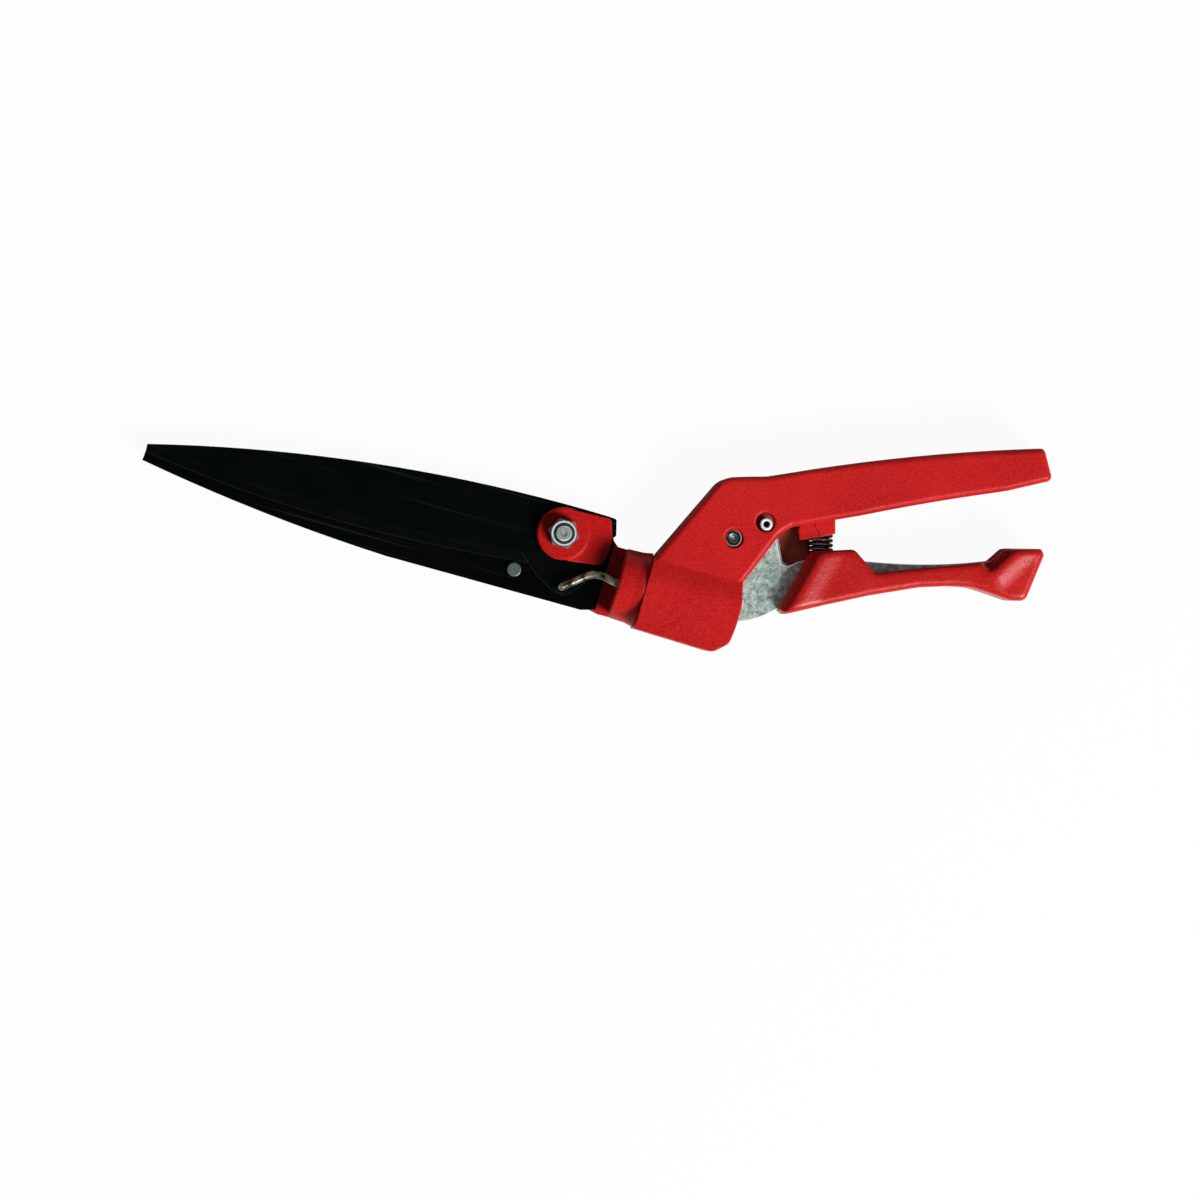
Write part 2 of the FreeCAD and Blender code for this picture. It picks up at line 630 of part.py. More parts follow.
# ------------------------------------------------------------------ blades
fixed = new_body("fixed_blade")
lower = new_sketch(fixed, "outline", S + "fixed_low")
draw(lower, "fixed", [
    (-191.3, -4.7, -730.0), (-95.0, -14.0), (-20.0, -13.3), (-14.7, -11.7), (-14.7, 14.0),
    (-18.0, 20.0), (-46.0, 20.4), (-52.0, 13.0), (-58.0, 3.0, -1000.0), (-190.9, 0.6)])
pad(fixed, "plate", lower, S + "blade_thick")
solid(fixed, "SubtractiveCylinder", "bolt_hole", (S + "bolt_x", S + "bolt_y", "-20"),
      Radius=S + "bolt_radius", Height="20")
solid(fixed, "SubtractiveCylinder", "rivet_hole", (S + "rivet_x", S + "rivet_y", "-20"),
      Radius=S + "rivet_shank_radius", Height="20")
soften(fixed, "hone", "3", lambda edge: at_height(edge, number("fixed_low")) and edge.BoundBox.XMax < -57.9
       and edge.BoundBox.XMin < -190 and edge.BoundBox.YMin > -1, "Chamfer", "1.4")

moving = new_body("moving_blade")
upper = new_sketch(moving, "outline", S + "moving_low")
draw(upper, "moving", [
    (-191.1, 1.5, 633.0), (-19.5, 22.9), (-16.5, 22.7), (-14.9, 16.6), (-16.2, 15.4, 20.0),
    (-15.9, 4.2), (-23.1, -5.75),
    (-27.4, -10.25), (-33.0, -9.0), (-39.5, -5.4), (-43.5, -1.9), (-51.6, -2.6), (-57.9, -3.3, 565.0),
    (-190.9, -1.4)])
pad(moving, "plate", upper, S + "blade_thick")
solid(moving, "SubtractiveCylinder", "bolt_hole", (S + "bolt_x", S + "bolt_y", "-20"),
      Radius="Sizes.bolt_radius + Sizes.running_gap", Height="20")
solid(moving, "SubtractiveCylinder", "hook_hole", (S + "hook_x", S + "hook_y", "-20"),
      Radius=S + "hook_slot_radius", Height="20")
soften(moving, "tail_corner", "0.9", lambda edge: upright(edge, -16.5, 22.7)
       or upright(edge, -14.9, 16.6))
soften(moving, "lug_corner", "2.5", lambda edge: upright(edge, -27.4, -10.25)
       or upright(edge, -33.0, -9.0) or upright(edge, -23.1, -5.75))
soften(moving, "hone", "1.4", lambda edge: at_height(edge, number("plate_low"))
       and edge.BoundBox.XMax < -57.8 and edge.BoundBox.XMin < -190
       and edge.BoundBox.YMax < 1.4, "Chamfer", "3.2")

# ------------------------------------------------- bolt, nut, plate and rivet
bolt = new_body("blade_bolt")
solid(bolt, "AdditiveCylinder", "head", (S + "bolt_x", S + "bolt_y", "-Sizes.housing_half"),
      Radius=S + "bolt_head_radius", Height=S + "bolt_head_thick")
soften(bolt, "head_edge", "0.5", lambda edge: at_height(edge, -number("housing_half")))
solid(bolt, "AdditiveCylinder", "shank", (S + "bolt_x", S + "bolt_y", "-Sizes.housing_half + 0.5"),
      Radius=S + "bolt_radius", Height="Sizes.housing_half - 0.5 + Sizes.bolt_end")
soften(bolt, "point", "0.6", lambda edge: at_height(edge, number("bolt_end")), "Chamfer")
solid(bolt, "SubtractiveCone", "centre", (S + "bolt_x", S + "bolt_y", "Sizes.bolt_end - 0.6"),
      Radius1="0.3", Radius2="1.1", Height="0.6")

plate = new_body("pressure_plate")
arm = new_sketch(plate, "arm", S + "plate_low")
draw(arm, "arm", [
    (-36.0, 21.4), (-18.4, 22.2), (-16.3, 15.9, 18.4), (-17.7, 4.6), (-29.1, 2.9), (-38.0, 3.5)])
pad(plate, "arm_pad", arm, S + "plate_thick")
soften(plate, "arm_corner", "1.5", lambda edge: upright(edge, -18.4, 22.2)
       or upright(edge, -17.7, 4.6))
solid(plate, "AdditiveCylinder", "boss", (S + "bolt_x", S + "bolt_y", S + "plate_low"),
      Radius=S + "boss_radius", Height=S + "boss_height")
soften(plate, "boss_edge", "0.8", lambda edge: at_height(edge, number("nut_low")))
solid(plate, "SubtractiveCylinder", "bore", (S + "bolt_x", S + "bolt_y", "-10"),
      Radius=S + "bolt_radius", Height="20")

nut = new_body("lock_nut")
hexagon = solid(nut, "AdditivePrism", "hexagon", (S + "bolt_x", S + "bolt_y", S + "nut_low"),
                Circumradius="Sizes.nut_flats / sqrt(3)", Height=S + "nut_thick")
hexagon.Polygon = 6
solid(nut, "AdditiveCylinder", "collar", (S + "bolt_x", S + "bolt_y", "Sizes.nut_low + Sizes.nut_thick"),
      Radius=S + "nut_collar_radius", Height=S + "nut_collar_thick")
solid(nut, "SubtractiveCylinder", "bore", (S + "bolt_x", S + "bolt_y", "-10"),
      Radius=S + "bolt_radius", Height="30")
solid(nut, "SubtractiveCylinder", "insert_room",
      (S + "bolt_x", S + "bolt_y", "Sizes.nut_low + Sizes.nut_thick"),
      Radius=S + "insert_outer", Height="3")
insert = new_body("nut_insert")
solid(insert, "AdditiveCylinder", "band",
      (S + "bolt_x", S + "bolt_y", "Sizes.nut_low + Sizes.nut_thick"),
      Radius=S + "insert_outer", Height="Sizes.nut_collar_thick - Sizes.insert_sunk")
solid(insert, "SubtractiveCylinder", "bore", (S + "bolt_x", S + "bolt_y", "-10"),
      Radius=S + "bolt_radius", Height="30")

rivet = new_body("stop_rivet")
solid(rivet, "AdditiveCylinder", "shank", (S + "rivet_x", S + "rivet_y", S + "fixed_low"),
      Radius=S + "rivet_shank_radius", Height=S + "blade_thick")
solid(rivet, "AdditiveCylinder", "head", (S + "rivet_x", S + "rivet_y", "Sizes.fixed_low + Sizes.blade_thick"),
      Radius=S + "rivet_head_radius", Height=S + "rivet_head_thick")
soften(rivet, "head_edge", "0.5", lambda edge: at_height(
    edge, number("fixed_low") + number("blade_thick") + number("rivet_head_thick")))

# ------------------------------------------------------------------ pull rod
rod = new_body("pull_rod")
route = new_sketch(rod, "route", "0")
draw(route, "route", [
    ("rod_end", 0.0), ("rod_rise_x", 0.0), ("rod_bend_x", "rod_bend_y", -9.0),
    ("rod_slope_x", "rod_slope_y"),
    ("hook_x", "hook_y")], closed=False)
section = new_sketch(rod, "section", S + "rod_end", "YZ_Plane")
put("axis_zero", 0.0)
sheet.recompute()
ring(section, "axis_zero", "axis_zero", "rod_radius")
wire = rod.newObject("PartDesign::AdditivePipe", "pull_rod_wire")
wire.Profile = section
wire.Spine = (route, [])
rod.Tip = wire
solid(rod, "AdditiveSphere", "elbow", (S + "hook_x", S + "hook_y", "0"), Radius=S + "rod_radius")
solid(rod, "AdditiveCylinder", "leg", (S + "hook_x", S + "hook_y", "-Sizes.hook_depth"),
      Radius=S + "rod_radius", Height=S + "hook_depth")

for node, start in (
        ("rod_collar_front", "Sizes.knuckle_x - Sizes.knuckle_radius - Sizes.collar_gap - Sizes.collar_thick"),
        ("rod_collar_rear", "Sizes.knuckle_x + Sizes.knuckle_radius + Sizes.collar_gap")):
    collar = new_body(node)
    solid(collar, "AdditiveCylinder", "disc", (start, "0", "0"), "x",
          Radius=S + "collar_radius", Height=S + "collar_thick")
    solid(collar, "SubtractiveCylinder", "bore", ("0", "0", "0"), "x", Radius=S + "rod_radius", Height="60")

# ------------------------------------------------------------------ write out
doc.recompute()
for item in doc.Objects:
    if "Invalid" in item.State or "Error" in item.State:
        raise RuntimeError(f"{item.Name} did not rebuild: {item.State}")
os.makedirs("parts", exist_ok=True)
for item in doc.Objects:
    if item.TypeId == "PartDesign::Body":
        if item.Shape.isNull() or not item.Shape.isValid():
            raise RuntimeError(f"{item.Label} has no sound shape")
        if len(item.Shape.Solids) != 1:
            raise RuntimeError(f"{item.Label} is in {len(item.Shape.Solids)} pieces")
        item.Shape.exportStep(f"parts/{item.Label}.step")
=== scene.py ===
import math
import bpy
from mathutils import Matrix, Vector


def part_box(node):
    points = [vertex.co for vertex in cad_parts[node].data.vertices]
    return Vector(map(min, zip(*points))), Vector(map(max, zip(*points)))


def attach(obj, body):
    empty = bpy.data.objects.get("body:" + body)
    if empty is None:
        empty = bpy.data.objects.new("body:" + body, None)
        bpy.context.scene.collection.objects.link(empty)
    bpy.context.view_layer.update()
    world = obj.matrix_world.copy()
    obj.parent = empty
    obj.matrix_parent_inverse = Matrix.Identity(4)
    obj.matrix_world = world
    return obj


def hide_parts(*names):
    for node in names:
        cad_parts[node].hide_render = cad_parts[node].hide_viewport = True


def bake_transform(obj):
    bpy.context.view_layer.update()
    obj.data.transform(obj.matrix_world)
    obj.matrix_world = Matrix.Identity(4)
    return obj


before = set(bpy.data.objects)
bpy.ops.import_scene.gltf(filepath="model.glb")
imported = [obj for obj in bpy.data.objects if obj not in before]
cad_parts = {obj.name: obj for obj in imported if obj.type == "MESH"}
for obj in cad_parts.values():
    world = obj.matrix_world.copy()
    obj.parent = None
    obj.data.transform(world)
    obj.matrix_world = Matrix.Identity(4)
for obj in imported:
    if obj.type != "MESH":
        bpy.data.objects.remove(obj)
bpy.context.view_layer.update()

MM = 0.001


# ------------------------------------------------------------------ node helpers
def srgb(red, green, blue):
    def straight(value):
        value /= 255
        return value / 12.92 if value <= 0.04045 else ((value + 0.055) / 1.055) ** 2.4
    return (straight(red), straight(green), straight(blue), 1.0)


def shade(colour, gain, lift=0.0):
    return tuple(min(1.0, part * gain + lift) for part in colour[:3]) + (1.0,)


def axis_of(node):
    """Where the upright axis of a turned node stands."""
    low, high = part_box(node)
    return ((low[0] + high[0]) / 2, (low[1] + high[1]) / 2)


class Shader:
    """One material and the few node patterns that all of them share."""

    def __init__(self, name, roughness, metallic=0.0, coat=0.0, specular=0.5):
        self.material = bpy.data.materials.new(name)
        self.material.use_nodes = True
        self.nodes = self.material.node_tree.nodes
        self.links = self.material.node_tree.links
        self.surface = self.nodes["Principled BSDF"]
        self.surface.inputs["Roughness"].default_value = roughness
        self.surface.inputs["Metallic"].default_value = metallic
        self.surface.inputs["Coat Weight"].default_value = coat
        self.surface.inputs["Coat Roughness"].default_value = 0.25
        self.surface.inputs["Specular IOR Level"].default_value = specular
        self.place = self.nodes.new("ShaderNodeTexCoord").outputs["Object"]

    def scaled(self, scale):
        node = self.nodes.new("ShaderNodeMapping")
        node.inputs["Scale"].default_value = scale
        self.links.new(self.place, node.inputs["Vector"])
        return node.outputs["Vector"]

    def noise(self, scale, detail=4.0, rough=0.55, stretch=None):
        node = self.nodes.new("ShaderNodeTexNoise")
        node.inputs["Scale"].default_value = scale
        node.inputs["Detail"].default_value = detail
        node.inputs["Roughness"].default_value = rough
        self.links.new(self.scaled(stretch) if stretch else self.place, node.inputs["Vector"])
        return node.outputs["Fac"]

    def cells(self, scale):
        node = self.nodes.new("ShaderNodeTexVoronoi")
        node.inputs["Scale"].default_value = scale
        self.links.new(self.place, node.inputs["Vector"])
        return node.outputs["Distance"]

    def rings(self, centre, stops, reach):
        """Rings of painted highlight and painted shade around an upright axis, standing for the glints
        of turned faces; stops are (radius, grey) up to reach.
        """
        shift = self.nodes.new("ShaderNodeMapping")
        shift.inputs["Location"].default_value = (-centre[0], -centre[1], 0)
        shift.inputs["Scale"].default_value = (1, 1, 0)
        self.links.new(self.place, shift.inputs["Vector"])
        far = self.nodes.new("ShaderNodeVectorMath")
        far.operation = "LENGTH"
        self.links.new(shift.outputs["Vector"], far.inputs[0])
        wobble = self.ramp(self.noise(900.0, 3.0), 0.3, 0.7, -0.12 * MM, 0.12 * MM)
        radius = self.math("ADD", far.outputs["Value"], wobble)
        bands = self.nodes.new("ShaderNodeValToRGB")
        self.links.new(self.ramp(radius, 0.0, reach), bands.inputs["Fac"])
        points = bands.color_ramp.elements
        while len(points) < len(stops):
            points.new(0.5)
        for point, (where, _) in zip(points, stops):
            point.position = where / reach
        for point, (_, grey) in zip(points, stops):
            point.color = srgb(grey * 0.94, grey, grey * 0.99)
        return bands.outputs["Color"]

    def ramp(self, source, low, high, first=0.0, last=1.0):
        node = self.nodes.new("ShaderNodeMapRange")
        node.inputs["From Min"].default_value = low
        node.inputs["From Max"].default_value = high
        node.inputs["To Min"].default_value = first
        node.inputs["To Max"].default_value = last
        self.links.new(source, node.inputs["Value"])
        return node.outputs["Result"]

    def math(self, kind, first, second):
        node = self.nodes.new("ShaderNodeMath")
        node.operation = kind
        for socket, item in zip(node.inputs, (first, second)):
            if isinstance(item, (int, float)):
                socket.default_value = item
            else:
                self.links.new(item, socket)
        return node.outputs["Value"]

    def blend(self, factor, first, second):
        node = self.nodes.new("ShaderNodeMix")
        node.data_type = "RGBA"
        self.links.new(factor, node.inputs["Factor"])
        for socket, item in ((node.inputs["A"], first), (node.inputs["B"], second)):
            if isinstance(item, tuple):
                socket.default_value = item
            else:
                self.links.new(item, socket)
        return node.outputs["Result"]

    def edges(self, radius, low=0.90, high=0.995):
        """1 on sharp edges, 0 on the flats."""
        bevel = self.nodes.new("ShaderNodeBevel")
        bevel.inputs["Radius"].default_value = radius
        bevel.samples = 6
        facing = self.nodes.new("ShaderNodeNewGeometry")
        dot = self.nodes.new("ShaderNodeVectorMath")
        dot.operation = "DOT_PRODUCT"
        self.links.new(bevel.outputs["Normal"], dot.inputs[0])
        self.links.new(facing.outputs["True Normal"], dot.inputs[1])
        return self.ramp(dot.outputs["Value"], high, low)

    def colour(self, source):
        self.links.new(source, self.surface.inputs["Base Color"])

    def rough(self, source):
        self.links.new(source, self.surface.inputs["Roughness"])

    def bump(self, source, strength, depth, soften=0.0):
        node = self.nodes.new("ShaderNodeBump")
        if soften:
            rounded = self.nodes.new("ShaderNodeBevel")
            rounded.inputs["Radius"].default_value = soften
            rounded.samples = 8
            self.links.new(rounded.outputs["Normal"], node.inputs["Normal"])
        node.inputs["Strength"].default_value = strength
        node.inputs["Distance"].default_value = depth
        self.links.new(source, node.inputs["Height"])
        self.links.new(node.outputs["Normal"], self.surface.inputs["Normal"])


# ------------------------------------------------------------------ materials
def red_paint(name, light, dark, roughness, coat, soften, specular=0.1):
    shader = Shader(name, roughness, coat=coat, specular=specular)
    cloud = shader.ramp(shader.noise(28.0, 3.0), 0.35, 0.65)
    grain = shader.noise(1400.0, 5.0, 0.7)
    body = shader.blend(cloud, dark, light)
    body = shader.blend(shader.ramp(grain, 0.42, 0.56, 0.0, 0.45), body,
                        shade(light, 1.45, 0.01))
    body = shader.blend(shader.ramp(shader.noise(1900.0, 2.0), 0.50, 0.66, 0.0, 0.40), body,
                        shade(dark, 0.55))
    # Edge wear and painted highlight: sharp edges, broken up by noise, are blended towards a light
    # pinkish red that stands for lit rims as well as rubbed paint.
    wear_and_edge_highlight = shader.math("MULTIPLY", shader.edges(0.0009), shader.ramp(shader.noise(220.0), 0.42, 0.62))
    wear_and_edge_highlight = shader.math("MULTIPLY", wear_and_edge_highlight, 0.45)
    shader.colour(shader.blend(wear_and_edge_highlight, body, srgb(232, 92, 84)))
    shader.rough(shader.ramp(shader.noise(90.0, 6.0), 0.3, 0.7, roughness - 0.06, roughness + 0.06))
    shader.bump(shader.math("ADD", shader.noise(520.0, 3.0), shader.math("MULTIPLY", grain, 0.6)),
                0.22, 0.0004, soften)
    return shader.material


def cast_metal(name, light, dark):
    shader = Shader(name, 0.5, metallic=0.55)
    mottle = shader.ramp(shader.noise(420.0, 8.0, 0.8), 0.38, 0.60)
    pits = shader.ramp(shader.cells(620.0), 0.05, 0.16)
    tone = shader.blend(mottle, dark, light)
    stain = shader.ramp(shader.noise(60.0, 4.0), 0.45, 0.75, 0.0, 0.35)
    tone = shader.blend(stain, tone, srgb(120, 128, 112))
    tone = shader.blend(pits, shade(dark, 0.45), tone)
    # Painted highlight: every sharp edge is blended to pure white, standing for lit edges as well as
    # bright worn ones.
    shader.colour(shader.blend(shader.edges(0.0008, 0.96, 0.998), tone, srgb(255, 255, 255)))
    shader.rough(shader.ramp(mottle, 0.0, 1.0, 0.62, 0.42))
    shader.bump(shader.math("ADD", shader.noise(700.0, 6.0, 0.7), pits), 0.35, 0.0005)
    return shader.material


def coated_blade(name, tone):
    shader = Shader(name, 0.28, specular=0.04)
    haze = shader.ramp(shader.noise(45.0, 6.0, 0.7, (1.0, 3.0, 1.0)), 0.35, 0.75)
    scratch = shader.ramp(shader.noise(160.0, 2.0, 0.5, (0.08, 6.0, 1.0)), 0.66, 0.74, 0.0, 0.18)
    body = shader.blend(haze, tone, shade(tone, 1.4, 0.0005))
    body = shader.blend(scratch, body, srgb(60, 66, 66))
    worn = shader.math("MULTIPLY", shader.edges(0.0003, 0.93, 0.99), 0.35)
    shader.colour(shader.blend(worn, body, srgb(90, 100, 98)))
    shader.rough(shader.ramp(haze, 0.0, 1.0, 0.28, 0.45))
    shader.bump(shader.noise(900.0, 4.0, 0.6), 0.12, 0.0003)
    return shader.material


def plain_metal(name, light, dark, roughness, scale=160.0, metallic=0.95, turned=None):
    """Stained steel; turned is the (axis, stops, reach) of rings of painted highlight and painted shade
    that replace its colour.
    """
    shader = Shader(name, roughness, metallic=metallic)
    stain = shader.ramp(shader.noise(scale, 6.0, 0.65), 0.35, 0.68)
    if turned:
        shader.colour(shader.rings(*turned))
    else:
        worn = shader.math("MULTIPLY", shader.edges(0.0003), 0.6)
        tone = shader.blend(stain, dark, light)
        shader.colour(shader.blend(worn, tone, shade(light, 1.4, 0.05)))
    shader.rough(shader.ramp(stain, 0.0, 1.0, roughness + 0.12, roughness - 0.05))
    shader.bump(shader.noise(scale * 6, 4.0), 0.15, 0.0002)
    return shader.material


def dull_plastic(name, light, dark):
    shader = Shader(name, 0.55)
    shader.colour(shader.blend(shader.ramp(shader.noise(300.0), 0.35, 0.7), dark, light))
    shader.bump(shader.noise(1200.0), 0.2, 0.0002)
    return shader.material


enamel = red_paint("red_enamel", srgb(200, 30, 29), srgb(178, 20, 21), 0.36, 0.04, 1.0 * MM)
boss_enamel = red_paint("boss_enamel", srgb(192, 22, 20), srgb(172, 16, 14), 0.34, 0.04, 0.5 * MM)
grip_skin = red_paint("grip_skin", srgb(192, 18, 14), srgb(172, 12, 9), 0.33, 0.08, 0.8 * MM, 0.24)
alloy = cast_metal("cast_alloy", srgb(182, 208, 200), srgb(96, 112, 104))
blade_top = coated_blade("blade_coat", srgb(1, 4, 4))
blade_low = coated_blade("blade_coat_lower", srgb(0, 2, 2))
nylon = dull_plastic("nylon_ring", srgb(20, 22, 26), srgb(8, 9, 12))

rivet_steel = plain_metal("rivet_steel", srgb(112, 126, 116), srgb(70, 80, 74), 0.42, 240.0)
rod_steel = plain_metal("rod_steel", srgb(176, 174, 150), srgb(30, 24, 15), 0.24, 260.0)
turned_steel = plain_metal("turned_steel", srgb(150, 150, 148), srgb(96, 96, 94), 0.35)
bright_steel = plain_metal("bright_steel", srgb(240, 244, 248), srgb(176, 182, 188), 0.24, 300.0)
# Painted light: the tubular rivet's steel is near white so that it reads as brightly lit.
rivet_bright = plain_metal("rivet_bright", srgb(252, 255, 255), srgb(236, 246, 246), 0.30, 300.0,
                           metallic=0.35)
catch_steel = plain_metal("catch_steel", srgb(196, 84, 62), srgb(160, 62, 44), 0.48, 180.0,
                          metallic=0.1)
spring_steel = plain_metal("spring_steel", srgb(150, 148, 148), srgb(50, 48, 48), 0.22, 200.0)
dark_ring = plain_metal("dark_ring", srgb(80, 80, 82), srgb(48, 48, 50), 0.45)

# Radius in metres and grey, from the axis outwards. The greys are mostly painted light: the bright
# rings are painted highlights on chamfers, rims and turned faces, and the near-black rings are painted
# shade in grooves and gaps.
BOLT_PAINTED_RINGS = [(0.0, 190), (0.4 * MM, 215), (0.65 * MM, 30), (1.0 * MM, 225), (1.35 * MM, 40),
              (1.7 * MM, 235), (2.1 * MM, 60), (2.45 * MM, 255), (2.75 * MM, 230),
              (2.95 * MM, 4), (3.2 * MM, 165)]
NUT_PAINTED_RINGS = [(0.0, 10), (3.6 * MM, 30), (3.85 * MM, 255), (4.3 * MM, 255), (4.6 * MM, 190),
             (4.8 * MM, 70), (5.1 * MM, 120), (6.0 * MM, 170)]
PIN_PAINTED_RINGS = [(0.0, 50), (0.5 * MM, 130), (0.9 * MM, 40), (1.5 * MM, 95), (1.9 * MM, 50),
             (2.15 * MM, 2), (2.6 * MM, 3), (2.78 * MM, 235), (3.0 * MM, 225)]
BOLT_AXIS = axis_of("blade_bolt")
steel_zinc = plain_metal("zinc_plate", srgb(236, 242, 242), srgb(150, 158, 160), 0.24, metallic=0.5,
                         turned=(BOLT_AXIS, BOLT_PAINTED_RINGS, 4 * MM))
nut_zinc = plain_metal("nut_zinc", srgb(214, 224, 220), srgb(120, 134, 132), 0.30, metallic=0.5,
                       turned=(BOLT_AXIS, NUT_PAINTED_RINGS, 7 * MM))
pin_steel = plain_metal("pin_steel", srgb(148, 150, 146), srgb(62, 58, 54), 0.28, 260.0, metallic=0.6,
                        turned=(axis_of("pivot_pin"), PIN_PAINTED_RINGS, 4 * MM))

FINISH = {
    enamel: ["upper_handle", "swivel_neck"],
    boss_enamel: ["pressure_plate"],
    alloy: ["cast_lever"],
    blade_top: ["moving_blade"],
    blade_low: ["fixed_blade"],
    steel_zinc: ["blade_bolt"],
    nut_zinc: ["lock_nut"],
    nylon: ["nut_insert"],
    rivet_steel: ["stop_rivet"],
    rod_steel: ["pull_rod"],
    turned_steel: ["rod_collar_front", "rod_collar_rear", "catch_stud"],
    pin_steel: ["pivot_pin"],
    spring_steel: ["detent_spring"],
    bright_steel: ["detent_ball"],
    dark_ring: ["retaining_ring"],
}
for finish, nodes in FINISH.items():
    for node in nodes:
        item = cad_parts[node]
        item.data.materials.clear()
        item.data.materials.append(finish)


# ------------------------------------------------------------------ mesh helpers
def meshed(name, points, faces):
    """A smooth-shaded object of these points and faces."""
    mesh = bpy.data.meshes.new(name)
    mesh.from_pydata([tuple(point) for point in points], [], faces)
    mesh.update()
    for face in mesh.polygons:
        face.use_smooth = True
    item = bpy.data.objects.new(name, mesh)
    bpy.context.scene.collection.objects.link(item)
    return item


def copy_of(node, name, finish):
    """A copy of a solid's mesh, to be reworked and shown in its place."""
    item = bpy.data.objects.new(name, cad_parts[node].data.copy())
    bpy.context.scene.collection.objects.link(item)
    item.data.materials.clear()
    item.data.materials.append(finish)
    return item


def baked(item):
    """Applies all modifiers."""
    bpy.context.view_layer.update()
    made = bpy.data.meshes.new_from_object(item.evaluated_get(bpy.context.evaluated_depsgraph_get()))
    item.modifiers.clear()
    item.data = made


def smoothed(item, name, rounds, group=""):
    modifier = item.modifiers.new(name, "SMOOTH")
    modifier.factor = 0.5
    modifier.iterations = rounds
    modifier.vertex_group = group


# ------------------------------------------------------------------ tubular rivet
def lathe(name, centre, profile, sides=56):
    """A profile of (radius, height) turned around an upright axis, closed at both ends."""
    points = []
    faces = []
    for turn in range(sides):
        angle = 2 * math.pi * turn / sides
        for radius, height in profile:
            points.append((centre[0] + radius * math.cos(angle),
                           centre[1] + radius * math.sin(angle), height))
    count = len(profile)
    for turn in range(sides):
        after = (turn + 1) % sides
        for step in range(count - 1):
            faces.append((turn * count + step, after * count + step,
                          after * count + step + 1, turn * count + step + 1))
    faces.append(tuple(turn * count for turn in reversed(range(sides))))
    faces.append(tuple(turn * count + count - 1 for turn in range(sides)))
    item = meshed(name, points, faces)
    item.data.set_sharp_from_angle(angle=math.radians(50))
    return item


low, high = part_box("catch_rivet")
RIVET_AXIS = axis_of("catch_rivet")
RIVET_RADIUS = (high.x - low.x) / 2
RIVET_BORE = 1.12 * MM
RIVET_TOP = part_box("pivot_pin")[1].z - 0.4 * MM
BORE_DEPTH = 4 * MM
LIP_STEPS = 8
middle = (RIVET_RADIUS + RIVET_BORE) / 2
wall = (RIVET_RADIUS - RIVET_BORE) / 2
profile = [(RIVET_RADIUS, low.z), (RIVET_RADIUS, RIVET_TOP - 0.7 * MM)]
for step in range(LIP_STEPS + 1):
    angle = math.pi * step / LIP_STEPS
    profile.append((middle + wall * math.cos(angle), RIVET_TOP - 0.5 * MM + 0.5 * MM * math.sin(angle)))
profile.append((RIVET_BORE, RIVET_TOP - BORE_DEPTH))
rivet_tube = lathe("rivet_tube", RIVET_AXIS, profile)
rivet_tube.data.materials.append(rivet_bright)
# Painted shade: the faces inside the bore take the near-black nylon finish, so the hole reads as deep
# shade.
rivet_tube.data.materials.append(nylon)
for face in rivet_tube.data.polygons:
    off_axis = math.hypot(face.center.x - RIVET_AXIS[0], face.center.y - RIVET_AXIS[1])
    if off_axis < RIVET_BORE + 0.1 * MM and face.center.z > low.z + 1 * MM:
        face.material_index = 1
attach(rivet_tube, "handle")
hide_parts("catch_rivet")


# ------------------------------------------------------------------ moulded grip
def swell(distance, start, crest, end):
    """0 before start, 1 at crest, 0 after end, smooth between them."""
    if distance <= start or distance >= end:
        return 0.0
    if distance < crest:
        share = (distance - start) / (crest - start)
    else:
        share = (end - distance) / (end - crest)
    return share * share * (3 - 2 * share)


class Crest:
    """The line across the grip where a bevel meets its broad face, in mm and degrees from +Y.

    The face swells to height on the crest and is level again at reach past it; nothing swells
    further back along the crest than foot.
    """

    def __init__(self, x, y, slant, reach, height, foot):
        self.point = Vector((x, y, 0)) * MM
        self.along = Vector((math.sin(math.radians(slant)), math.cos(math.radians(slant)), 0))
        self.across = Vector((self.along.y, -self.along.x, 0))
        self.reach, self.height, self.foot = reach * MM, height * MM, foot * MM

    def places(self, spot):
        """Distance past the crest, and a weight: 1 on the crest's run, 0 off its foot."""
        gap = Vector((spot.x, spot.y, 0)) - self.point
        run = (gap.dot(self.along) - self.foot) / (5 * MM)
        return gap.dot(self.across), min(1.0, max(0.0, run))


CRESTS = [Crest(34.2, 0.4, 13.5, 9.5, 1.35, -60), Crest(104.4, 41.3, 31.0, 9.0, 1.4, -4)]
low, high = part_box("grip_cover")
GRIP_MID = (low.z + high.z) / 2
GRIP_HALF = (high.z - low.z) / 2
CELL = 0.5 * MM
BEVEL_DEPTH = 6 * MM
grip = copy_of("grip_cover", "grip_moulding", grip_skin)
even = grip.modifiers.new("even", "REMESH")
even.mode = "VOXEL"
even.voxel_size = CELL
baked(grip)
soft = grip.vertex_groups.new(name="soft")
for point in grip.data.vertices:
    weight = 0.0
    for crest in CRESTS:
        past, run = crest.places(point.co)
        weight = max(weight, run * swell(past, -6.5 * MM, -0.5 * MM, 4.5 * MM))
    if abs(point.co.z - GRIP_MID) > GRIP_HALF - BEVEL_DEPTH:
        soft.add([point.index], weight, "REPLACE")
smoothed(grip, "melt", 70, "soft")
smoothed(grip, "rounder", 4)
baked(grip)
for point in grip.data.vertices:
    lift = 0.0
    for crest in CRESTS:
        past, run = crest.places(point.co)
        lift += crest.height * run * swell(past, -4.0 * MM, 0.5 * MM, crest.reach)
    point.co.z += lift * ((point.co.z - GRIP_MID) / GRIP_HALF) ** 3
thin = grip.modifiers.new("thin", "DECIMATE")
thin.ratio = 0.25
baked(grip)
for face in grip.data.polygons:
    face.use_smooth = True
grip.vertex_groups.clear()
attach(grip, "lever")
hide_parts("grip_cover")

